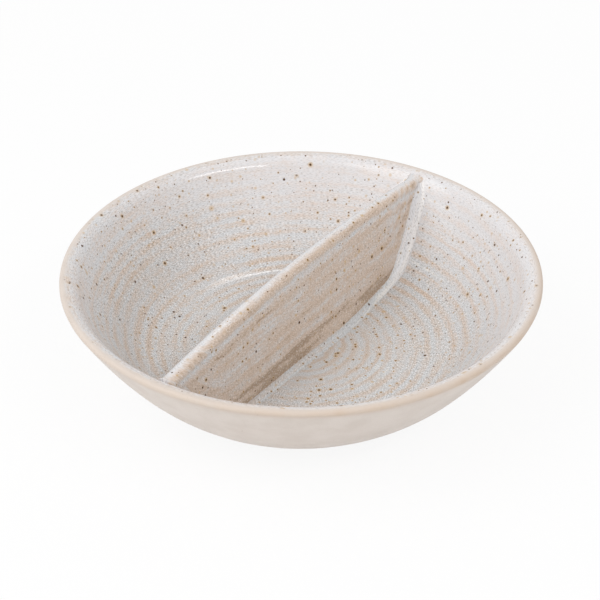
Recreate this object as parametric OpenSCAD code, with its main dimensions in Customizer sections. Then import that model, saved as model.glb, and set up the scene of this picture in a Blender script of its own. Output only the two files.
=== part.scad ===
// Divided serving bowl: a round stoneware bowl with a tapered wall across its middle.
// The origin is the middle of the foot, on the table. The dividing wall runs along Y.

/* [Bowl] */
// Radius over the glaze at the lip
bowl_r = 90; // [80:1:110]
// Height over the glaze at the lip
bowl_h = 46.2; // [43:0.1:56]
// Thickness of the clay wall
wall_t = 4.4; // [4:0.1:6]
// Lean of the wall at the lip, in degrees from upright
lip_lean = 30; // [24:1:36]
// Length of the nearly straight stretch of wall under the lip
lip_reach = 17; // [14:0.5:23]
// Radius of the clay on the lip's outer side
lip_out = 1; // [0.8:0.1:2]
// How far the outer glaze runs inwards from the lip's top, in degrees
lip_wrap = 27; // [15:1:30]

/* [Belly and foot] */
// Slope of the underside where it leaves the foot, in degrees
belly_rise = 15; // [10:1:22]
// Length of the shallow stretch of wall beside the foot
belly_reach = 15; // [10:0.5:19]
// Radius of the clay where the belly starts, above the foot ring
foot_r = 51; // [46:0.5:58]
// Height of the foot ring
foot_h = 3.4; // [2.5:0.1:4.5]
// Width of the foot ring
foot_w = 6; // [4:0.5:9]
// How far the foot ring stands in from the glaze line
foot_step = 0.7; // [0.5:0.1:1.5]
// Width of the worn edges on the foot ring
foot_edge = 0.8; // [0.4:0.1:1.5]

/* [Floor] */
// Thickness of the clay floor at its middle
floor_t = 6.2; // [5.5:0.1:9]
// Rise of the floor from its middle to above the foot
floor_dish = 1.2; // [0.2:0.1:2.5]
// Height over which the floor turns softly into the wall
corner_soft = 4; // [2:0.5:6]

/* [Throwing ridges] */
// Distance from one ridge to the next
ridge_pitch = 4.8; // [3.5:0.1:7]
// Height of a ridge in the clay
ridge_h = 0.5; // [0.2:0.05:0.6]
// Distance of the ridge in the corner outwards from where the belly starts
ridge_corner = 7.7; // [6:0.1:10]

/* [Dividing wall] */
// Thickness of the clay along the top
divider_top_t = 4.2; // [3:0.1:6]
// Thickness of the clay at the floor
divider_foot_t = 12; // [8:0.2:16]
// Drop of the dividing wall's ends below the lip
end_drop = 1.2; // [1:0.1:5]
// Height of each end that is pressed against the bowl
end_seat = 1.2; // [1:0.1:3]
// How far the top of each end stands out past its foot
end_lean = 0.6; // [0.2:0.1:0.7]
// Rise of the top from its ends to its middle
crown = 2.8; // [0:0.1:5]
// Sideways sag of the top at its middle, towards the left compartment
bow = 2.3; // [0:0.1:3]

/* [Seam beads] */
// Width of the clay bead pressed into each seam
bead_w = 3.6; // [2.5:0.1:5]

/* [Glaze] */
// Thickness of the glaze coats
glaze_t = 0.4; // [0.3:0.05:0.5]

/* [Hidden] */

// Roundness of the turned pieces
$fn = 120;
// Steps along the outer wall, the lip, the inside and the dividing wall
outer_steps = 24;
lip_steps = 12;
inner_steps = 150;
divider_steps = 36;
side_steps = 5;
top_steps = 9;
bead_steps = 6;

// How much of the wall's height counts towards the ridge spacing
climb_share = 0.36;
// How much of a ridge still shows through the glaze
follow_share = 0.5;
// Limits, in shares of the dividing wall's height at a place, of its rounded top and its beads
round_share = 0.5;
bead_share = 0.5;

// Small step for measuring the slope of the inside
probe = 0.1;
// Extra length of cutting shapes past the faces that they cut
overrun = 1;

clay_colour = [0.72, 0.62, 0.5];
inside_colour = [0.83, 0.81, 0.78];
outside_colour = [0.84, 0.78, 0.72];
bead_colour = [0.8, 0.8, 0.8];

function unit(v) = v / norm(v);
function left_of(v) = [-v[1], v[0]];
function mix(a, b, t) = a + (b - a) * t;
function reversed(list) = [for (i = [len(list) - 1:-1:0]) list[i]];
function bezier(p, t) =
    p[0] * pow(1 - t, 3) + p[1] * 3 * t * pow(1 - t, 2) + p[2] * 3 * t * t * (1 - t) + p[3] * pow(t, 3);
function bezier_way(p, t) =
    (p[1] - p[0]) * pow(1 - t, 2) + (p[2] - p[1]) * 2 * t * (1 - t) + (p[3] - p[2]) * t * t;
// The larger of two heights, rounded over where they cross
function soft_max(a, b, soft) =
    let (t = min(1, max(0, 1 / 2 + (b - a) / (2 * soft)))) mix(a, b, t) + soft * t * (1 - t);

// The lip is rounded tightly on its outer side, and slowly on its inner side to suit the wall
lip_top = [bowl_r - glaze_t - lip_out, bowl_h - glaze_t];
lip_in = (wall_t - lip_out * (1 + sin(lip_lean))) / (1 - sin(lip_lean));
function lip_at(a, out) =
    let (radius = a < 90 ? lip_out : lip_in) lip_top - [0, radius] + (radius + out) * [cos(a), sin(a)];
function lip_curve(out) =
    [for (i = [1:lip_steps]) lip_at(mix(-lip_lean, 90 + lip_wrap, i / lip_steps), out)];

// The clay's outer side is one smooth curve from the foot to the lip
belly_way = [cos(belly_rise), sin(belly_rise)];
lip_way = [sin(lip_lean), cos(lip_lean)];
belly_start = [foot_r, foot_h];
lip_start = lip_at(-lip_lean, 0);
wall_path = [
    belly_start,
    belly_start + belly_reach * belly_way,
    lip_start - lip_reach * lip_way,
    lip_start
];

// A place on the wall, moved inwards by a depth
function wall_at(t, depth) = bezier(wall_path, t) + depth * left_of(unit(bezier_way(wall_path, t)));
function outer_curve(out) = [for (i = [0:outer_steps]) wall_at(i / outer_steps, -out)];

// Its inner side runs beside it, and then over the lip
inner_start = belly_start + wall_t * left_of(belly_way);
inner_end = lip_at(180 - lip_lean, 0);
inner_path = [
    inner_start,
    inner_start + belly_reach * belly_way,
    inner_end - (lip_reach - (lip_in - lip_out) * cos(lip_lean)) * lip_way,
    inner_end
];
inner_wall = concat(
    [for (i = [0:outer_steps]) bezier(inner_path, i / outer_steps)],
    [for (i = [1:lip_steps]) lip_at(mix(180 - lip_lean, 90, i / lip_steps), 0)]
);
inner_wall_flipped = [for (p = inner_wall) [p[1], p[0]]];

// The inside is a dished floor that turns softly into the wall, up to the outer glaze's edge
inner_r = lip_at(90 + lip_wrap, 0)[0];
floor_mid = foot_h + floor_t;
function floor_z(r) = floor_mid + floor_dish * pow(r / foot_r, 2);
function inner_z(r) = soft_max(floor_z(r), lookup(r, inner_wall), corner_soft);
function inner_slope(r) = (inner_z(r + probe) - inner_z(abs(r - probe))) / (2 * probe);
function wall_radius(z) = lookup(z, inner_wall_flipped);

// Ridges left by the fingers: evenly spaced along the inside, and fading out under the lip
function ridge_fade(r) = min(1, (inner_r - r) / ridge_pitch);
function ridge_way(r) = r + climb_share * inner_z(r);
ridge_from = ridge_way(foot_r + ridge_corner);
function ridge(r) = cos(360 * (ridge_way(r) - ridge_from) / ridge_pitch) * ridge_fade(r);
function inner_at(r, up, swell) =
    [r, inner_z(r)] + (up + swell * ridge(r)) * left_of(unit([1, inner_slope(r)]));
function inner_curve(up, swell) = concat(
    [[0, inner_z(0) + up + swell * ridge(0)]],
    [for (i = [1:inner_steps - 1]) inner_at(inner_r * i / inner_steps, up, swell)],
    [lip_at(90 + lip_wrap, up)]
);
clay_swell = ridge_h / 2;
glaze_swell = clay_swell * follow_share;

module bowl_body() {
    inside = inner_curve(0, clay_swell);
    color(clay_colour)
    rotate_extrude()
    polygon(concat(
        [[0, foot_h]],
        outer_curve(0),
        lip_curve(0),
        [for (i = [inner_steps - 1:-1:0]) inside[i]]
    ));
}

// The bare ring that the bowl stands on, with both edges worn off
module foot_ring() {
    ring_r = foot_r - foot_step;
    color(clay_colour)
    rotate_extrude()
    polygon([
        [ring_r - foot_w, foot_h],
        [ring_r - foot_w, foot_edge],
        [ring_r - foot_w + foot_edge, 0],
        [ring_r - foot_edge, 0],
        [ring_r, foot_edge],
        [ring_r, foot_h]
    ]);
}

// The glaze inside the foot ring
module foot_well_glaze() {
    color(outside_colour)
    translate([0, 0, foot_h - glaze_t])
    cylinder(r = foot_r - foot_step - foot_w, h = glaze_t);
}

// The outer coat runs from the foot over the lip
module outer_glaze() {
    color(outside_colour)
    rotate_extrude()
    polygon(concat(
        outer_curve(0),
        lip_curve(0),
        reversed(lip_curve(glaze_t)),
        reversed(outer_curve(glaze_t))
    ));
}

// One closed solid swept through a list of loops, each an even number of points.
// Opposite points of the first and last loop close the ends.
module swept(loops) {
    n = len(loops[0]);
    last = len(loops) - 1;
    polyhedron(
        points = [for (loop = loops) for (p = loop) p],
        faces = concat(
            [for (i = [0:last - 1]) for (k = [0:n - 1])
                [i * n + k, i * n + (k + 1) % n, (i + 1) * n + (k + 1) % n]],
            [for (i = [0:last - 1]) for (k = [0:n - 1])
                [i * n + k, (i + 1) * n + (k + 1) % n, (i + 1) * n + k]],
            [for (k = [0:n / 2 - 2]) [k, n - 1 - k, k + 1]],
            [for (k = [0:n / 2 - 2]) [k + 1, n - 1 - k, n - 2 - k]],
            [for (k = [0:n / 2 - 2]) [last * n + k, last * n + k + 1, last * n + n - 1 - k]],
            [for (k = [0:n / 2 - 2]) [last * n + k + 1, last * n + n - 2 - k, last * n + n - 1 - k]]
        )
    );
}

// The dividing wall tapers upwards and ends on the bowl's wall, just under the lip
end_z = bowl_h - end_drop - glaze_t;
mid_z = end_z + crown;
divider_foot_r = wall_radius(end_z - end_seat);
divider_r = divider_foot_r + end_lean;
top_half = divider_top_t / 2;
function half_at(z) = mix(divider_foot_t, divider_top_t, (z - floor_mid) / (mid_z - floor_mid)) / 2;
// How far along the wall a station lies, from -1 to 1, closer together near the ends
function along(i) = sin(180 * i / divider_steps - 90);
function sag(s, z) = -bow * (1 - s * s) * pow((z - floor_mid) / (mid_z - floor_mid), 2);
// What is pressed onto the inside stands on the tops of the ridges
function tops_z(x, y) =
    let (r = norm([x, y])) inner_z(r) + clay_swell * ridge_fade(r) * norm([1, inner_slope(r)]);
// Height of the floor or wall under a face of the dividing wall
function seat_z(y) = tops_z(half_at(inner_z(abs(y))), y);
function top_z(s) = end_z + crown * (1 - s * s);
// Bead height up the face, smaller where the dividing wall is low
function bead_up(s) = min(bead_w, bead_share * (top_z(s) - seat_z(divider_foot_r * s)));
// The way out of the bowl's surface, in the plane of the dividing wall
function way_up(y) = unit([-sign(y) * inner_slope(abs(y)), 1]);

// The face and rounded top at a station, from the right seam over the top to the left seam
function face_arc(i, grow, lift) =
    let (
        s = along(i),
        foot = [divider_foot_r * s, seat_z(divider_foot_r * s)],
        start = foot + lift * way_up(foot[0]),
        roll = min(top_half, round_share * (top_z(s) - foot[1])),
        round_z = top_z(s) - roll,
        side = [for (k = [0:side_steps]) let (z = mix(start[1], round_z, k / side_steps))
            [half_at(z) + grow, z]],
        cap = [for (k = [1:top_steps - 1]) let (a = 180 * k / top_steps)
            [(half_at(round_z) + grow) * cos(a), round_z + (roll + grow) * sin(a)]],
        whole = concat(side, cap, [for (p = reversed(side)) [-p[0], p[1]]])
    )
    [for (p = whole) let (t = (p[1] - start[1]) / (top_z(s) - start[1]))
        [p[0] + sag(s, p[1]), mix(start[0], divider_r * s, t), p[1]]];

module divider_wall() {
    color(clay_colour)
    swept([for (i = [0:divider_steps]) face_arc(i, 0, 0)]);
}

// The glaze on both faces and the top of the dividing wall, down to the beads
module divider_glaze() {
    color(inside_colour)
    swept([for (i = [0:divider_steps])
        concat(face_arc(i, glaze_t, bead_up(along(i))), reversed(face_arc(i, 0, bead_up(along(i)))))]);
}

// The right bead's outline at a station: its hollow front, then its back along the face and the floor
function bead_loop(i) =
    let (
        s = along(i),
        y = divider_foot_r * s,
        up = bead_up(s) * way_up(y),
        foot_x = half_at(seat_z(y)),
        side_x = half_at(seat_z(y) + up[1]),
        front = [for (k = [0:bead_steps]) let (
                a = 90 * k / bead_steps,
                x = mix(foot_x + bead_w, side_x, sin(a)),
                z = mix(seat_z(y), tops_z(foot_x + bead_w, y), cos(a))
            ) [x, y + up[0] * (1 - cos(a)), z + up[1] * (1 - cos(a))]],
        back = [for (k = [bead_steps - 1:-1:1]) let (t = abs(2 * k / bead_steps - 1))
            2 * k > bead_steps
                ? [mix(foot_x, side_x, t), y + up[0] * t, seat_z(y) + up[1] * t]
                : [foot_x + bead_w * t, y, tops_z(foot_x + bead_w * t, y)]]
    )
    concat(front, back);

// The dividing wall sags to one side, so each bead follows its own face
function bead_loops(side) =
    [for (i = [0:divider_steps]) [for (p = bead_loop(i)) [p[0] + side * sag(along(i), p[2]), p[1], p[2]]]];

module seam_bead_right() {
    color(bead_colour)
    swept(bead_loops(1));
}

module seam_bead_left() {
    color(bead_colour)
    mirror([1, 0, 0])
    swept(bead_loops(-1));
}

// Half of the inside coat, cut back along the bead up to the end of the dividing wall
module liner_glaze_right() {
    cut_x = [for (z = [0, end_z]) half_at(z) + bead_w];
    color(inside_colour)
    difference() {
        rotate([0, 0, -90])
        rotate_extrude(angle = 180)
        polygon(concat(inner_curve(0, clay_swell), reversed(inner_curve(glaze_t, glaze_swell))));
        translate([0, bowl_r, 0])
        rotate([90, 0, 0])
        linear_extrude(2 * bowl_r)
        polygon([[-overrun, 0], [cut_x[0], 0], [cut_x[1], end_z], [-overrun, end_z]]);
    }
}

module liner_glaze_left() {
    mirror([1, 0, 0]) liner_glaze_right();
}

bowl_body();
foot_ring();
divider_wall();
seam_bead_left();
seam_bead_right();
liner_glaze_left();
liner_glaze_right();
divider_glaze();
outer_glaze();
foot_well_glaze();
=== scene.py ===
# Divided serving bowl: a round stoneware bowl with a tapered wall across its middle.
# The script follows the bowl piece by piece: body, foot ring, inside glaze, dividing wall, seams,
# outside glaze, foot well. The origin is the middle of the foot; the dividing wall runs along Y.
import bmesh
import bpy
import numpy as np
from mathutils import Matrix


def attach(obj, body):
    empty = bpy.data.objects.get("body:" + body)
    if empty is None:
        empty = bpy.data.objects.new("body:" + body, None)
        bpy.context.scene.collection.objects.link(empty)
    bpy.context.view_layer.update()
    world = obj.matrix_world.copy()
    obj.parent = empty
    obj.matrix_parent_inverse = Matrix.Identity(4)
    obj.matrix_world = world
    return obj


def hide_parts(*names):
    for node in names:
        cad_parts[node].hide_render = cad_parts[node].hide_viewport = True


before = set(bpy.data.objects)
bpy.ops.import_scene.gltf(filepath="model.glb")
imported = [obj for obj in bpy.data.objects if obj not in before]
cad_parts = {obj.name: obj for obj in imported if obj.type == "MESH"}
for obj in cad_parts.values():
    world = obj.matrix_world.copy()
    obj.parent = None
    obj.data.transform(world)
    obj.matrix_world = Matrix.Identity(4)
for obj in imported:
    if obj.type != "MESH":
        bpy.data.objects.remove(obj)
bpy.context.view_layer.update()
mm = 0.001


# The body is thrown from one lump of sandy stoneware, floor and wall in one.
# The two glazes cover it all but for a hairline above the foot, so its CAD shape stays
# and only gets the fired clay's finish.
class Amount:
    """A number, colour or direction that varies over a surface, and the sums done on it."""

    def __init__(self, finish, socket):
        self.finish, self.socket = finish, socket

    def also(self, output):
        """Another result of the same node."""
        return Amount(self.finish, self.socket.node.outputs[output])

    def sum(self, operation, first, second):
        return self.finish.add("Math", {"operation": operation}, {0: first, 1: second})

    def __add__(self, other):
        return self.sum("ADD", self, other)

    def __sub__(self, other):
        return self.sum("SUBTRACT", self, other)

    def __rsub__(self, other):
        return self.sum("SUBTRACT", other, self)

    def __mul__(self, other):
        return self.sum("MULTIPLY", self, other)

    __radd__, __rmul__ = __add__, __mul__

    def between(self, low, high):
        """0 up to low and 1 from high on, with a soft start and end."""
        return self.finish.add(
            "MapRange", {"interpolation_type": "SMOOTHSTEP"},
            {"Value": self, "From Min": low, "From Max": high, "To Min": 0.0, "To Max": 1.0},
        )


class Finish:
    """A clay or glaze: a material whose nodes are added one at a time."""

    def __init__(self, name):
        self.material = bpy.data.materials.new(name)
        self.material.use_nodes = True
        self.tree = self.material.node_tree
        self.shader = self.tree.nodes["Principled BSDF"]
        self.place = self.add("TexCoord", output="Object")

    def add(self, kind, settings=None, inputs=None, output=0):
        """One node of a type: its settings first, then the values or links of its sockets."""
        node = self.tree.nodes.new("ShaderNode" + kind)
        for name, value in (settings or {}).items():
            setattr(node, name, value)
        for name, value in (inputs or {}).items():
            self.set(node.inputs[name], value)
        return Amount(self, node.outputs[output])

    def kept(self, name):
        """A number that the mesh keeps at each point."""
        return self.add("Attribute", {"attribute_name": name}, output="Fac")

    def set(self, socket, value):
        if isinstance(value, Amount):
            self.tree.links.new(value.socket, socket)
        else:
            socket.default_value = value

    def finish(self, **inputs):
        """Sets the shader's own sockets, with Base_Color for Base Color."""
        for name, value in inputs.items():
            self.set(self.shader.inputs[name.replace("_", " ")], value)
        return self.material

    def mix(self, amount, first, second):
        """From the first colour to the second as the amount goes from 0 to 1."""
        return self.add("Mix", {"data_type": "RGBA"}, {0: amount, 6: first, 7: second}, output=2)

    def clouds(self, size, detail=2.0, place=None):
        """Soft random clouds of a size, around 0.5."""
        inputs = {"Vector": place or self.place, "Scale": 1 / size, "Detail": detail}
        return self.add("TexNoise", {}, inputs)

    def bumps(self, height, depth, after=None):
        """Raises the surface by a depth where the height is 1."""
        inputs = {"Height": height, "Distance": depth, "Strength": 1.0}
        if after:
            inputs["Normal"] = after
        return self.add("Bump", {}, inputs)


def seen(red, green, blue):
    """A colour by its values as seen on a screen, 0 to 255, as the shader's amounts of light."""
    part = np.array([red, green, blue]) / 255
    light = np.where(part > 0.04045, ((part + 0.055) / 1.055) ** 2.4, part / 12.92)
    return (*light, 1.0)


def bare_clay():
    """Fired clay without glaze: warm sand with darker grit, dull and grainy."""
    clay = Finish("fired_clay")
    sand = clay.clouds(0.5 * mm, 4.0)
    patches = clay.clouds(9 * mm).between(0.35, 0.65)
    colour = clay.mix(patches, seen(196, 170, 142), seen(208, 184, 157))
    colour = clay.mix(sand.between(0.55, 0.7) * 0.35, colour, seen(168, 138, 108))
    grit = clay.add("TexVoronoi", {}, {"Vector": clay.place, "Scale": 1 / (2.2 * mm)})
    colour = clay.mix(grit.between(0.16, 0.1), colour, seen(92, 62, 42))
    return clay.finish(Base_Color=colour, Roughness=0.9, Normal=clay.bumps(sand, 0.12 * mm))


fired_clay = bare_clay()

for clay_node in ("bowl_body", "divider_wall"):
    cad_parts[clay_node].data.materials.clear()
    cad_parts[clay_node].data.materials.append(fired_clay)


# The foot ring is turned from the leather-hard body and left bare, so that it doesn't stick in the
# kiln. It is the same sandy clay, with both edges worn round.
def skin(name, material, front, back, ring=False, **marks):
    """A closed piece between two grids of points, rows by columns: its front and its back, joined
    by strips along the open edges. A ring joins its last column to its first. Marks are numbers
    kept at each point."""
    rows, columns = front.shape[:2]
    number = np.arange(rows * columns).reshape(rows, columns)
    if ring:
        number = np.hstack([number, number[:, :1]])
    under = number + rows * columns

    def strip(first, second):
        return np.stack([first[:-1], first[1:], second[1:], second[:-1]], -1)

    faces = [
        np.stack([number[:-1, :-1], number[:-1, 1:], number[1:, 1:], number[1:, :-1]], -1),
        np.stack([under[:-1, :-1], under[1:, :-1], under[1:, 1:], under[:-1, 1:]], -1),
        strip(under[0], number[0]),
        strip(number[-1], under[-1]),
    ]
    if not ring:
        faces += [strip(number[:, 0], under[:, 0]), strip(under[:, -1], number[:, -1])]
    faces = np.vstack([part.reshape(-1, 4) for part in faces])
    points = np.vstack([front.reshape(-1, 3), back.reshape(-1, 3)])
    a, b, c, d = (points[faces[:, corner]] for corner in range(4))
    if np.sum(a * np.cross(b, c)) + np.sum(a * np.cross(c, d)) < 0:
        faces = faces[:, ::-1]
    mesh = bpy.data.meshes.new(name)
    mesh.from_pydata(points, [], faces.tolist())
    for mark, values in marks.items():
        kept = np.broadcast_to(values, (rows, columns)).ravel()
        layer = mesh.attributes.new(mark, "FLOAT", "POINT")
        layer.data.foreach_set("value", np.concatenate([kept, kept]))
    whole = bmesh.new()
    whole.from_mesh(mesh)
    bmesh.ops.remove_doubles(whole, verts=whole.verts, dist=0.0001 * mm)
    whole.to_mesh(mesh)
    whole.free()
    mesh.shade_smooth()
    mesh.set_sharp_from_angle(angle=np.radians(40))
    mesh.materials.append(material)
    piece = bpy.data.objects.new(name, mesh)
    bpy.context.scene.collection.objects.link(piece)
    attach(piece, "root")
    return piece


def spun(out, up, around):
    """Turns a profile about the axis: each row at a distance and height, one column per angle."""
    out, up, around = np.broadcast_arrays(out, up, around)
    return np.stack([out * np.cos(around), out * np.sin(around), up], -1)


def drift(x, y, z, size, seed):
    """Slow unevenness between -1 and 1: three crossing sine waves, each bent by the one before."""
    turn = 2 * np.pi / size
    first = np.sin(turn * (0.9 * x + 0.4 * y) + seed)
    second = np.sin(turn * (0.7 * y - 0.6 * x + 0.5 * z) + 2.1 * seed + first)
    return np.sin(turn * (0.8 * z + 0.3 * x + 0.5 * y) + 3.7 * seed + second)


full_turn = np.linspace(0, 2 * np.pi, 289)[:-1]
quarter_turn = np.linspace(0, np.pi / 2, 7)
foot_inner, foot_outer, foot_top = 44.3 * mm, 50.3 * mm, 3.4 * mm
foot_side, foot_edge = 2.2 * mm, 1 * mm
foot_out = np.concatenate([
    [foot_inner, foot_inner],
    foot_inner + foot_edge * (1 - np.cos(quarter_turn)),
    foot_outer - foot_edge * (1 - np.sin(quarter_turn)),
    [foot_outer, foot_outer],
])[:, None]
foot_up = np.concatenate([
    [foot_top, foot_side],
    foot_edge * (1 - np.sin(quarter_turn)),
    foot_edge * (1 - np.cos(quarter_turn)),
    [foot_side, foot_top],
])[:, None]
foot_wave = drift(foot_out * np.cos(full_turn), foot_out * np.sin(full_turn), 0, 21 * mm, 1)
foot_wear = 0.06 * mm * (1 + foot_wave) * np.sign(foot_out - (foot_inner + foot_outer) / 2)
foot_front = spun(foot_out - foot_wear, foot_up, full_turn)
foot_under = np.linspace(foot_inner + 0.2 * mm, foot_outer - 0.2 * mm, len(foot_up))[:, None]
foot_back = spun(foot_under, foot_top, full_turn)
foot_ring = skin("turned_foot_ring", fired_clay, foot_front, foot_back, ring=True)
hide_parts("foot_ring")


# The inside glaze is a glossy pale coat, poured in and out. It runs thin and tan over the finger
# ridges, thick and bluish in the grooves, and the clay's iron bleeds through as brown flecks.
# Each half is one coat, from under the seam by the dividing wall out to the lip.
glaze_coat, clay_wall = 0.4 * mm, 4.4 * mm
lip_middle, lip_top, lip_outer, lip_inner = 88.6 * mm, 45.8 * mm, 1 * mm, 5.8 * mm
lip_lean, belly_rise = np.radians(30), np.radians(15)
belly_reach, outer_reach, inner_reach = 15 * mm, 17 * mm, 12.84 * mm
belly_out, liner_edge = 51 * mm, 85.97 * mm
floor_middle, floor_dish, floor_corner = 9.6 * mm, 1.2 * mm, 4 * mm


def on_lip(faced, lift):
    """Distance from the axis and height on the lip, by the way it faces: outwards at 0, upwards at
    a quarter turn. Its rounding is tight on the outer side and wide on the inner."""
    radius = np.where(faced < np.pi / 2, lip_outer, lip_inner)
    out = lip_middle + (radius + lift) * np.cos(faced)
    up = lip_top - radius + (radius + lift) * np.sin(faced)
    return np.array([out, up])


def wall_side(thickness, faced, reach):
    """Distance from the axis and height along one side of the clay wall, from foot to lip: the
    curve foot (1 - t)^3 + 3 belly t (1 - t)^2 + 3 shoulder t^2 (1 - t) + lip t^3, which ends where
    the lip's rounding faces a given way."""
    belly_way = np.array([np.cos(belly_rise), np.sin(belly_rise)])
    foot = np.array([belly_out, foot_top]) + thickness * np.array([-belly_way[1], belly_way[0]])
    belly, lip = foot + belly_reach * belly_way, on_lip(faced, 0)
    shoulder = lip - reach * np.array([np.sin(lip_lean), np.cos(lip_lean)])
    t = np.linspace(0, 1, 110)[:, None]
    low = foot * (1 - t) ** 3 + 3 * belly * t * (1 - t) ** 2
    high = 3 * shoulder * t**2 * (1 - t) + lip * t**3
    return (low + high).T


inner_side = np.hstack([
    wall_side(clay_wall, np.pi - lip_lean, inner_reach),
    on_lip(np.linspace(np.pi - lip_lean, np.pi / 2, 60)[1:], 0),
])


def inside_height(out):
    """Height of the clay inside: the dished floor and the wall's inner side, rounded together."""
    floor = floor_middle + floor_dish * (out / belly_out) ** 2
    wall = np.interp(out, *inner_side)
    share = np.clip(0.5 + (wall - floor) / (2 * floor_corner), 0, 1)
    return floor + (wall - floor) * share + floor_corner * share * (1 - share)


def inside_slope(out):
    """How steeply the clay inside rises, from the heights 0.1 mm to either side."""
    further, nearer = inside_height(out + 0.1 * mm), inside_height(np.abs(out - 0.1 * mm))
    return (further - nearer) / (0.2 * mm)


def over_inside(out, around, lift):
    """A point on the clay's inner side, raised along the surface's normal."""
    faced = np.pi / 2 + np.arctan(inside_slope(out))
    return spun(out + lift * np.cos(faced), inside_height(out) + lift * np.sin(faced), around)


# The ridges' distances from the axis, uneven as fingers leave them: floor, corner, then wall
ridges = np.array([
    2.5, 7, 12.4, 16.5, 20.6, 26.2, 30.4, 34, 39, 44.6, 48.8, 54.1,
    58.7, 63.6, 68, 71.6, 74.2, 76.6, 79.2, 82.4, 88
]) * mm


def finger_ridge(out, around):
    """1 on a ridge and -1 in a groove: a cosine from ridge to ridge, which waver round the bowl."""
    waver = 0.35 * np.sin(2 * around + 1) + 0.25 * np.sin(5 * around + out / (9 * mm))
    return np.cos(2 * np.pi * np.interp(out + waver * mm, ridges, np.arange(len(ridges))))


def inside_lift(out, around):
    """The inside glaze over the clay: its coat, the ridges that show through, a faint ledge where
    it leaves the lip, and slow waves."""
    x, y = out * np.cos(around), out * np.sin(around)
    strength = 0.7 + 0.3 * drift(x, y, 0, 45 * mm, 4)
    fade = np.clip((85.5 * mm - out) / (5 * mm), 0, 1)
    ridge = 0.035 * mm * strength * fade * finger_ridge(out, around)
    ledge = 0.13 * mm * np.exp(-(((out - 84.6 * mm) / (1 * mm)) ** 2))
    return glaze_coat + ridge - ledge + 0.03 * mm * drift(x, y, 0, 23 * mm, 2)


def inside_coat(out, around):
    """How thick the inside glaze lies: -1 thin and tan, 0 plain, 1 pooled and bluish. It is
    thinnest on the ridges, more so beside the seams, and thinner to the left than to the right."""
    x, y = out * np.cos(around), out * np.sin(around)
    on_floor = np.clip((66 * mm - out) / (8 * mm), 0, 1)
    near_seam = np.exp(-((x / (13 * mm)) ** 2)) * (1 - on_floor)
    leftward = -np.cos(around - 0.8)
    strength = 0.32 + 0.1 * on_floor - 0.07 * leftward + 0.33 * near_seam
    strength = strength + 0.16 * drift(x, y, 0, 38 * mm, 7)
    fade = np.clip((86 * mm - out) / (6 * mm), 0, 1)
    at_corner = np.exp(-(((out - 58.7 * mm) / (2.5 * mm)) ** 2))
    thinned = 0.08 * at_corner + 0.1 * leftward * (1 - on_floor) + 0.08 * on_floor
    return -fade * strength * finger_ridge(out, around) - thinned


def flecks(glaze, ground, seed, gap, small, large, share, dark, halo=None):
    """Iron flecks over a ground colour: a share of the balls that are strewn through space at a
    gap, cut by the surface, each with a size of its own. Some have a rusty halo."""
    push = glaze.clouds(0.7 * mm, 1.0).also("Color")
    place = glaze.add(
        "VectorMath", {"operation": "MULTIPLY_ADD"},
        {0: push, 1: (0.35 * small,) * 3, 2: glaze.place},
    )
    moved = glaze.add(
        "VectorMath", {"operation": "ADD"}, {0: place, 1: (0.031 * seed, 0.017 * seed, 0.007)}
    )
    reach = glaze.add("TexVoronoi", {}, {"Vector": moved, "Scale": 1 / gap})
    chance = glaze.add("SeparateColor", {}, {0: reach.also("Color")}, output=0)
    there = chance.also(1).between(share, share - 0.02)
    size = chance * chance * ((large - small) / gap) + small / gap
    if halo:
        rust = reach.between(size * 2.6, size * 0.9) * there * chance.also(2).between(0.45, 0.8)
        ground = glaze.mix(rust * 0.7, ground, halo)
    return glaze.mix(reach.between(size * 1.15, size * 0.75) * there, ground, dark)


rusty = seen(204, 170, 118)


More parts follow.
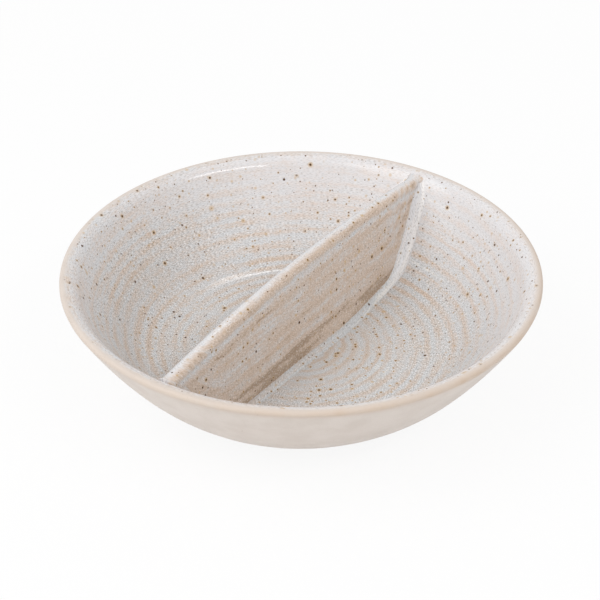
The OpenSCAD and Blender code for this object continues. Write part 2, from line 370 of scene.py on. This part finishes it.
def inside_colours(glaze):
    """The inside glaze's colour and the fine grain in it. The coat's thickness is broken up by
    washes, by streaks that follow the finger marks, and by small clouds."""
    coat, pale, grit = glaze.kept("coat"), glaze.kept("pale"), glaze.kept("grit")
    across, along = glaze.kept("across"), glaze.kept("along")
    dragged = glaze.add("CombineXYZ", {}, {0: across, 1: along * 0.1})
    streaks = glaze.clouds(1.3 * mm, 2.0, dragged)
    broken = glaze.clouds(5 * mm, 2.0, dragged)
    wash = glaze.clouds(7 * mm, 3.0)
    drawn = glaze.add("CombineXYZ", {}, {0: across, 1: along * 0.45})
    grain = glaze.clouds(0.42 * mm, 2.0, drawn)
    coat = coat * (broken * 4.5 - 1.1) + (wash - 0.5) * 1.4 + (streaks - 0.5) * 1.8
    coat = coat + (glaze.clouds(1.8 * mm) - 0.5) * 1.4 + (glaze.clouds(18 * mm) - 0.5) * 0.9
    colour = glaze.mix(coat.between(0.5, -1.3), seen(219, 217, 217), seen(214, 192, 173))
    colour = glaze.mix(coat.between(-0.3, 1.3), colour, seen(211, 215, 219))
    # Brown where the coat is thinnest; at the dividing wall's foot this brown also stands as painted
    # shade
    colour = glaze.mix(coat.between(-1.2, -2.4), colour, seen(176, 150, 124))
    # Nearly white where the glaze pools thickest, and for the painted highlight along the seams; it
    # is lighter than the pool alone, as painted light in the shaded corners
    colour = glaze.mix(coat.between(0.7, 1.9), colour, seen(241, 238, 234))
    # Painted light and shade: the glaze lighter where the kept shading is above 0 and darker where it
    # is below
    colour = glaze.mix(pale.between(0.0, 1.0) * 0.55, colour, seen(240, 236, 237))
    colour = glaze.mix(pale.between(0.0, -1.0) * 0.17, colour, seen(150, 141, 130))
    colour = glaze.mix(grain.between(0.48, 0.7) * grit, colour, seen(150, 144, 138))
    colour = glaze.mix(grain.between(0.5, 0.28) * grit, colour, seen(250, 250, 251))
    for seed, gap, small, large, share, dark, halo in (
        (1, 1.7 * mm, 0.1 * mm, 0.2 * mm, 0.6, seen(158, 132, 104), None),
        (2, 2.0 * mm, 0.16 * mm, 0.4 * mm, 0.72, seen(104, 74, 44), rusty),
        (3, 3.6 * mm, 0.24 * mm, 0.62 * mm, 0.72, seen(88, 60, 34), rusty),
    ):
        colour = flecks(glaze, colour, seed, gap, small, large, share, dark, halo)
    return colour, grain


def inside_glaze(name):
    """A glossy glaze, a little less so up the wall."""
    glaze = Finish(name)
    colour, grain = inside_colours(glaze)
    across = glaze.kept("across")
    up_wall = across.between(70 * mm, 84 * mm) * across.between(127 * mm, 122 * mm)
    ripple = glaze.bumps(glaze.clouds(2.4 * mm), 0.025 * mm)
    return glaze.finish(
        Base_Color=colour,
        Roughness=0.12 + up_wall * 0.28 + (glaze.clouds(7 * mm) - 0.5) * 0.1,
        Normal=glaze.bumps(grain, 0.008 * mm, ripple),
        IOR=1.5,
    )


pooled_seam = inside_glaze("pooled_glaze")
glossy_inside = inside_glaze("liner_glaze")


def inside_pale(out, around):
    """Painted light and shade on the inside glaze, by the way from the axis across the floor and up
    the wall: -1 as painted shade on the floor, lighter up the walls, most of all high on the right,
    and painted darker low on the left wall."""
    way = (out + inside_height(out)) / mm
    left = np.clip((60 * around - 140) / 50, 0, 1)
    right_wall = np.clip((way - 72) / 53, 0, 1) * (1 - 0.9 * left)
    left_wall = 0.4 * np.clip((way - 106) / 14, 0, 1) - 0.8 * np.exp(-(((way - 88) / 15) ** 2))
    return right_wall + left * left_wall - np.clip((80 - way) / 20, 0, 1)


slab_foot, slab_top, slab_height = 12 * mm, 4.2 * mm, 37.8 * mm
slab_end, mean_radius = 84.7 * mm, 60 * mm


def up_slab(height):
    """How far up the dividing wall a height lies: 0 at the floor and 1 at the middle of the top."""
    return (height - floor_middle) / slab_height


def half_thickness(height):
    """Half of the dividing wall's clay at a height: it tapers evenly from floor to top."""
    return (slab_foot + (slab_top - slab_foot) * up_slab(height)) / 2


tucked_in = np.array([86.1, 86.3, 86.5]) * mm
out = np.append(np.linspace(6.2 * mm, liner_edge, 200), tucked_in)[:, None]
edge = np.where(out < slab_end, half_thickness(inside_height(out)) + 0.5 * mm, 0)
reach = np.arccos(np.clip(edge / out, 0, 1))
for node, middle in (("liner_glaze_right", 0), ("liner_glaze_left", np.pi)):
    around = middle + reach * np.linspace(-1, 1, 181)
    lift = np.where(out > 86.4 * mm, 0.2 * mm, inside_lift(out, around))
    front = over_inside(out, around, lift)
    back = over_inside(out, around, 0.02 * mm)
    # Painted light and shade on the inside glaze: lighter up the walls, darker on the floor
    pale = inside_pale(out, around)
    liner = skin(
        "inside_" + node, glossy_inside, front, back,
        coat=inside_coat(out, around), pale=pale, grit=0.78 - 0.5 * np.clip(pale, 0, 1),
        across=out + inside_height(out), along=mean_radius * around,
    )
    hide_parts(node)


# The dividing wall is a slab of the same clay, thick at its foot, with its top rounded by a wet
# finger. It stands on the floor's ridges and keeps its CAD shape. Its coat, which hangs over both
# faces and the top, is tan where it thins along the edge, and finger marks run along the faces.
seat_rise, mark_depth = 0.25 * mm, 0.09 * mm
top_end, top_rise, top_round = 44.57 * mm, 2.78 * mm, 2.1 * mm
slab_foot_end = 83.9 * mm


def walked(points, axis):
    """Distance walked over a grid of points from its first line, down (0) or along (1) its rows."""
    first = np.take(points, [0], axis)
    return np.cumsum(np.linalg.norm(np.diff(points, axis=axis, prepend=first), axis=-1), axis)


def sag(along, height):
    """How far the slab has sagged to the left: most at its top's middle, not at ends or foot."""
    return -2.3 * mm * (1 - along**2) * up_slab(height) ** 2


def seat(x, y):
    """Height of the tops of the floor's ridges, on which the slab and the seams stand."""
    out = np.hypot(x, y)
    fade = np.clip((liner_edge - out) / (4.8 * mm), 0, 1)
    return inside_height(out) + seat_rise * fade * np.hypot(1, inside_slope(out))


def face_mark(along, height):
    """1 on a finger mark's ridge and -1 in its groove, by the depth below the top, with a sharper
    groove just under it. The marks follow the crowned top, and run straight nearer the foot."""
    crown = top_rise * (1 - along**2) * np.clip(up_slab(height), 0, 1) ** 1.5
    depth = (top_end - height + crown) / mm
    depths = [1, 3.5, 6, 8.5, 11, 16, 24, 30]
    strength = np.interp(depth, depths, [0, 0.5, 1, 0.6, 0.35, 0.6, 0.5, 0.1])
    waves = strength * np.cos(2 * np.pi * (depth - 6) / 5.05 + 0.3 * np.sin(3 * along))
    return waves - 1.3 * np.exp(-((depth - 3.1) ** 2))


along = np.sin(np.linspace(-np.pi / 2, np.pi / 2, 241))
foot_y = slab_foot_end * along
foot_x = half_thickness(inside_height(np.abs(foot_y)))
foot_z = seat(foot_x, foot_y)
top_z = top_end + top_rise * (1 - along**2)
roll = np.minimum(top_round, 0.5 * (top_z - foot_z))
rounded_z = top_z - roll


def end_flare(y):
    """How far the coat swells where the top meets the bowl's wall: a hollow fillet, 4 mm long."""
    past = np.clip(np.abs(y) / mm - 80.7, 0, 4)
    return 0.05 * mm * past**2


def foot_swell(y, height):
    """The slab's foot bulges to the right beyond its middle, where it was pressed down unevenly."""
    lengthwise = ((y - 20 * mm) / (25 * mm)) ** 2
    upwards = np.clip(height / mm - 11, 0, None) / 8
    return 2 * mm * np.exp(-lengthwise - upwards)


def over_slab(share, angle, lift, swell):
    """A point of the slab's coat: share runs from the foot of a face (0) to where the top rounds
    off (1), and angle goes over the top from the right face (0) to the left (pi)."""
    y = foot_y + (slab_end * along - foot_y) * share
    low = foot_z + (rounded_z - foot_z) * share
    near_top = np.clip(1 - (rounded_z - low) / (5 * mm), 0, 1) ** 2
    mark = mark_depth * face_mark(along, low) * np.cos(angle) ** 2
    lifted = lift + swell * (mark + end_flare(y) * near_top)
    z = low + (roll + lifted) * np.sin(angle)
    x = (half_thickness(low) + lifted) * np.cos(angle) + sag(along, z)
    x += foot_swell(y, low) * (angle < 0.1)
    return np.stack([x, y + 0 * z, z], -1)


climb = np.linspace(0.02, 1, 90)
share = np.concatenate([climb, np.ones(24), climb[::-1]])[:, None]
angle = np.concatenate([np.zeros(90), np.linspace(0, np.pi, 26)[1:-1], np.full(90, np.pi)])[:, None]
slab_front = over_slab(share, angle, glaze_coat, 1)
slab_back = over_slab(share, angle, 0.02 * mm, 0)
slab_y, slab_z = slab_front[..., 1], slab_front[..., 2]
on_face = np.cos(angle) ** 2
# A painted highlight on the top's left shoulder, as bluish-white glaze; the right shoulder is tan
# where the coat thins
left_edge_highlight = np.exp(-(((angle - 2.1) / 0.6) ** 2))
right_edge = np.exp(-(((angle - 0.8) / 0.6) ** 2))
inside_ends = np.clip((1 - np.abs(along)) / 0.08, 0, 1)
# A brown band at each face's foot: partly the coat's thin tan, partly painted shade where the slab
# meets the floor
foot_tan_and_painted_shade = np.exp(-(((slab_z - foot_z) / (8 * mm)) ** 2)) * (share < 0.7) * inside_ends
face_coat = -on_face * (0.45 * face_mark(along, slab_z) + 0.5)
slab_across = walked(slab_front, 0)
# The slab's top is painted lighter and its faces darker, as painted light and shade
slab_glaze = skin(
    "dividing_wall_glaze", glossy_inside, slab_front, slab_back,
    coat=face_coat + 0.5 * left_edge_highlight - 0.8 * right_edge - 1.35 * foot_tan_and_painted_shade,
    pale=0.6 - 1.1 * on_face, grit=0.35 + 0.08 * on_face,
    across=np.minimum(slab_across, slab_across[-1] - slab_across), along=slab_y,
)
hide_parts("divider_glaze")


# A coil of clay is pressed into the corner on each side, where the slab meets floor and wall, and
# smoothed with a round tool. Glaze pools there, so the seams show as pale bluish bands.
seam_share = np.linspace(0, 1, 25)[:, None]


def seam(side):
    """The seam's hollow face and its back: at each place along the slab the curve floor (1 - t)^2
    + 2 corner t (1 - t) + face t^2, which meets the bowl's inside and the slab's face smoothly."""
    swollen = side > 0
    corner_x = foot_x + glaze_coat + foot_swell(foot_y, 0) * swollen

    def beside(x):
        out, around = np.hypot(x, foot_y), np.arctan2(foot_y, side * x)
        return over_inside(out, around, inside_lift(out, around))

    taper = np.clip((1 - np.abs(along)) / 0.05, 0, 1) ** 0.5
    on_wall = np.clip((np.abs(foot_y) - 54 * mm) / (10 * mm), 0, 1)
    corner_point = beside(corner_x)
    floor_point = beside(corner_x + (2.5 + 1.5 * on_wall) * mm * (0.3 + 0.7 * taper))
    slope = inside_slope(np.abs(foot_y))
    leg = np.minimum((2.1 + 1.5 * on_wall) * mm, 0.55 * (top_z - foot_z)) / np.hypot(1, slope)
    face_y = corner_point[:, 1] - leg * np.sign(foot_y) * slope
    face_z = corner_point[:, 2] + leg
    mark = mark_depth * face_mark(along, face_z)
    face_x = side * (half_thickness(face_z) + glaze_coat + mark) + sag(along, face_z)
    face_x += foot_swell(foot_y, face_z) * swollen
    face_point = np.stack([face_x, face_y, face_z], -1)
    t = seam_share[:, :, None]
    ends = floor_point * (1 - t) ** 2 + face_point * t**2
    inwards = np.array([-side, 0, -1]) * mm
    front = ends + 2 * corner_point * t * (1 - t)
    back = ends + 2 * (corner_point + 0.3 * inwards) * t * (1 - t) + 0.5 * inwards
    return front, back


pool = np.clip(seam_share / 0.15, 0, 1) * np.clip((1 - seam_share) / 0.25, 0, 1)
fullness = np.interp(foot_y / mm, [-60, -20, 30, 50, 66], [-0.5, 0.2, 0.8, 1.1, 1.7])
# A painted highlight: the narrow spike near the floor side of each seam turns it to a thin white line
seam_coat_and_highlight = fullness * pool - 0.2 + 0.8 * np.exp(-(((seam_share - 0.2) / 0.09) ** 2))
# Painted light and shade along the seams: darker on the floor, lighter where they climb the wall
seam_pale = np.interp(foot_y / mm, [-60, 40, 55, 66], [-1, -1, 0.5, 0.9])
for node, side in (("seam_bead_right", 1), ("seam_bead_left", -1)):
    front, back = seam(side)
    bead = skin(
        "pressed_" + node, pooled_seam, front, back,
        coat=seam_coat_and_highlight, pale=seam_pale, grit=0.45, across=walked(front, 0), along=walked(front, 1),
    )
    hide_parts(node)


# The outside glaze is a satin warm beige, dipped from the lip down to the foot. It goes over the
# lip, where it breaks to tan, and meets the inside glaze just below.
def outside_glaze():
    """Beige outside, the inside glaze's colours past the lip, and tan where it is thin between."""
    glaze = Finish("outer_glaze")
    lip, thin = glaze.kept("lip"), glaze.kept("thin")
    wash = glaze.clouds(9 * mm, 3.0)
    fine = glaze.clouds(0.45 * mm, 2.0)
    beige = glaze.mix(wash.between(0.3, 0.7), seen(217, 206, 197), seen(224, 214, 206))
    beige = glaze.mix(fine.between(0.58, 0.8) * 0.4, beige, seen(190, 170, 152))
    inner, grain = inside_colours(glaze)
    colour = glaze.mix(lip.between(0.0, 1.0), beige, inner)
    colour = glaze.mix(thin + (wash - 0.5) * thin * 2, colour, seen(206, 184, 163))
    colour = flecks(glaze, colour, 5, 7.5 * mm, 0.2 * mm, 0.45 * mm, 0.6, seen(150, 122, 94))
    ripple = glaze.bumps(glaze.clouds(3.5 * mm), 0.06 * mm)
    return glaze.finish(
        Base_Color=colour,
        Roughness=0.5 - lip * 0.3,
        Normal=glaze.bumps(grain, 0.02 * mm, ripple),
        IOR=1.45,
    )


satin_outside = outside_glaze()
belly = wall_side(0, -lip_lean, outer_reach)
belly_faced = np.arctan2(*np.gradient(belly, axis=1)[::-1]) - np.pi / 2
lip_wrap = np.pi / 2 + np.radians(27)
up_lip = np.linspace(-lip_lean, np.pi / 2, 40)[1:]
over_lip = np.append(up_lip, np.linspace(np.pi / 2, lip_wrap, 16)[1:])
line_out, line_up = np.hstack([belly, on_lip(over_lip, 0)])[:, :, None]
faced = np.append(belly_faced, over_lip)[:, None]
from_foot = np.hypot(line_out - line_out[0], line_up - line_up[0])
# Just above the foot the coat ends in a rounded edge
glaze_line = np.sqrt(1 - (1 - np.clip(from_foot / (0.9 * mm), 0, 1)) ** 2)
wave = drift(line_out * np.cos(full_turn), line_out * np.sin(full_turn), line_up, 34 * mm, 5)
steady = np.clip(from_foot / (6 * mm), 0, 1) * (faced < 0.0)
lift = 0.03 * mm + 0.36 * mm * glaze_line - 0.05 * mm * (1 + wave) * steady
front = spun(line_out + lift * np.cos(faced), line_up + lift * np.sin(faced), full_turn)
back = spun(line_out + 0.01 * mm * np.cos(faced), line_up + 0.01 * mm * np.sin(faced), full_turn)
passed = walked(front[:, :1], 0)
past_top = passed - passed[np.argmin(np.abs(faced - np.pi / 2))]
thin = 0.33 * np.exp(-(((past_top + 1.8 * mm) / (2 * mm)) ** 2)) * (1.05 + np.cos(full_turn + 0.1))
# The lip's inside colours are painted lighter, most on the side about 34 degrees from +X and least
# opposite, as light and shade
outside = skin(
    "outside_glaze", satin_outside, front, back, ring=True,
    lip=np.clip((past_top + 0.3 * mm) / (2.2 * mm), 0, 1), thin=thin,
    coat=-0.2 * np.exp(-((past_top / (2 * mm)) ** 2)), pale=0.45 + 0.35 * np.cos(full_turn - 0.6),
    grit=0.4, across=past_top,
    along=mean_radius * np.abs(np.pi - (full_turn + 2.3) % (2 * np.pi)),
)
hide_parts("outer_glaze")


# The well inside the foot ring has the same satin glaze, wiped back from the bare ring. It is a
# thin even coat on the clay's underside, with a rounded edge.
well_flat, well_r, well_depth = 43.1 * mm, 44.1 * mm, 0.36 * mm
well_out = np.concatenate([
    np.linspace(0, well_flat, 60),
    well_r - (well_r - well_flat) * np.cos(quarter_turn[1:]),
    [well_r + 0.15 * mm],
])[:, None]
well_share = np.concatenate([np.ones(60), np.cos(quarter_turn[1:]), [0]])[:, None]
well_wave = drift(well_out * np.cos(full_turn), well_out * np.sin(full_turn), 0, 30 * mm, 9)
well_lift = 0.01 * mm + well_depth * well_share * (1 + 0.1 * well_wave)
well_front = spun(well_out, foot_top - well_lift, full_turn)
well_back = spun(well_out, foot_top, full_turn)
well = skin("foot_well_coat", satin_outside, well_front, well_back, ring=True, lip=0.0, thin=0.0)
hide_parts("foot_well_glaze")


# The bowl stands on a white table in a pale room. A broad window lights it from the left, a low one
# from the right, and a small far one draws the highlight in the floor's corner. The camera looks
# down from the front right, as its fit to the photograph placed it.
white = Finish("white_table")
rays = white.add("LightPath", output="Is Camera Ray")
seen_white = rays.sum("MAXIMUM", rays, rays.also("Is Glossy Ray"))
seen_white = seen_white.sum("MAXIMUM", seen_white, rays.also("Is Transmission Ray"))
plain = white.add("BsdfDiffuse", {}, {"Color": (0.9, 0.9, 0.9, 1)})
glow = white.add("Emission", {}, {"Color": (1, 1, 1, 1), "Strength": 1.0})
paper = white.add("MixShader", {}, {0: seen_white * 0.9, 1: plain, 2: glow})
white.tree.links.new(paper.socket, white.tree.nodes["Material Output"].inputs["Surface"])
table = np.array([[-1, -1, 0], [1, -1, 0], [1, 1, 0], [-1, 1, 0]]) * 3.0
table_mesh = bpy.data.meshes.new("table")
table_mesh.from_pydata(table, [], [(0, 1, 2, 3)])
table_mesh.materials.append(white.material)
table_top = bpy.data.objects.new("table", table_mesh)
bpy.context.scene.collection.objects.link(table_top)

world = bpy.data.worlds.new("soft_room")
world.use_nodes = True
bpy.context.scene.world = world
sky = world.node_tree.nodes["Background"]
sky.inputs["Color"].default_value = (1, 1, 1, 1)
ray = world.node_tree.nodes.new("ShaderNodeLightPath")
glow_range = world.node_tree.nodes.new("ShaderNodeMapRange")
glow_range.inputs["To Min"].default_value = 0.7
glow_range.inputs["To Max"].default_value = 1.0
world.node_tree.links.new(ray.outputs["Is Camera Ray"], glow_range.inputs["Value"])
world.node_tree.links.new(glow_range.outputs["Result"], sky.inputs["Strength"])


def direction(azimuth, elevation):
    """From the bowl into the room, in degrees: azimuth from +X towards +Y, height above the table."""
    azimuth, elevation = np.radians(azimuth), np.radians(elevation)
    flat = np.cos(elevation)
    return np.array([flat * np.cos(azimuth), flat * np.sin(azimuth), np.sin(elevation)])


def aimed(thing, place, toward):
    """Stands a lamp or the camera at a place, looking along a direction, with its top upwards."""
    back = -toward / np.linalg.norm(toward)
    across = np.cross([0, 0, 1], back)
    across /= np.linalg.norm(across)
    turned = np.identity(4)
    turned[:3, :3] = np.stack([across, np.cross(back, across), back], -1)
    turned[:3, 3] = place
    thing.matrix_world = Matrix(turned)
    bpy.context.scene.collection.objects.link(thing)


bowl_middle, away = np.array([0, 0, 23.6]) * mm, 1.2
for name, azimuth, elevation, wide, high, power in (
    ("left_window", -120, 45, 0.9, 0.9, 5.3),
    ("far_window", 121.4, 46.6, 0.045, 0.012, 0.1),
    ("right_window", -12, 48, 0.75, 0.13, 2.4),
):
    window = bpy.data.lights.new(name, "AREA")
    window.shape, window.size, window.size_y, window.energy = "RECTANGLE", wide, high, power
    lamp = bpy.data.objects.new(name, window)
    toward = direction(azimuth, elevation)
    aimed(lamp, bowl_middle + away * toward, -toward)

lens = bpy.data.cameras.new("camera")
lens.lens, lens.sensor_width = 109.64, 36
lens.clip_start, lens.clip_end = 0.05, 20
camera = bpy.data.objects.new("camera", lens)
camera_place = np.array([0.3177715, -0.4793003, 0.4148734])
aimed(camera, camera_place, np.array([-0.4602436, 0.6931396, -0.5547372]))
bpy.context.scene.camera = camera
bpy.context.scene.view_settings.view_transform = "Standard"
